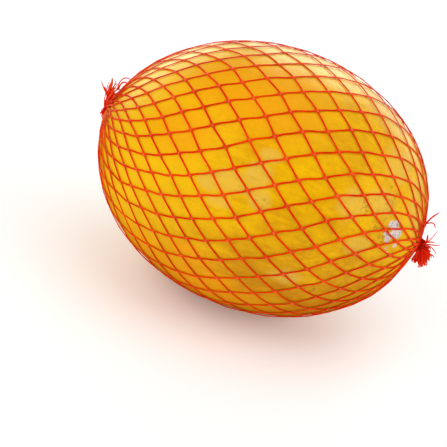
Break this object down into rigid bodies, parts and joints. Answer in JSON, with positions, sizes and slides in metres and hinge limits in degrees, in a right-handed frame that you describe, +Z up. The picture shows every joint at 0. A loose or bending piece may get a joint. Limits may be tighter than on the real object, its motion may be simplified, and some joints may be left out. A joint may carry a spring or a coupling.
{
  "type": "netted muskmelon",
  "caption": "Whole yellow oval muskmelon in a diamond-mesh sale net gathered at both ends, lying on its side on a small flat spot.",
  "frame": {"origin": "under the crossing of net strands that the melon rests on, at the level of the ground", "axes": "+X along the melon's length from the stem end to the blossom end, +Z up, +Y away from the side that the picture shows"},
  "size_m": [0.2306, 0.1619, 0.1594],
  "materials": {
    "rind": "waxy satin rind",
    "net_plastic": "satin extruded polyethylene"
  },
  "bodies": {
    "root": {"melon": "rind", "net": "net_plastic"}
  },
  "joints": []
}
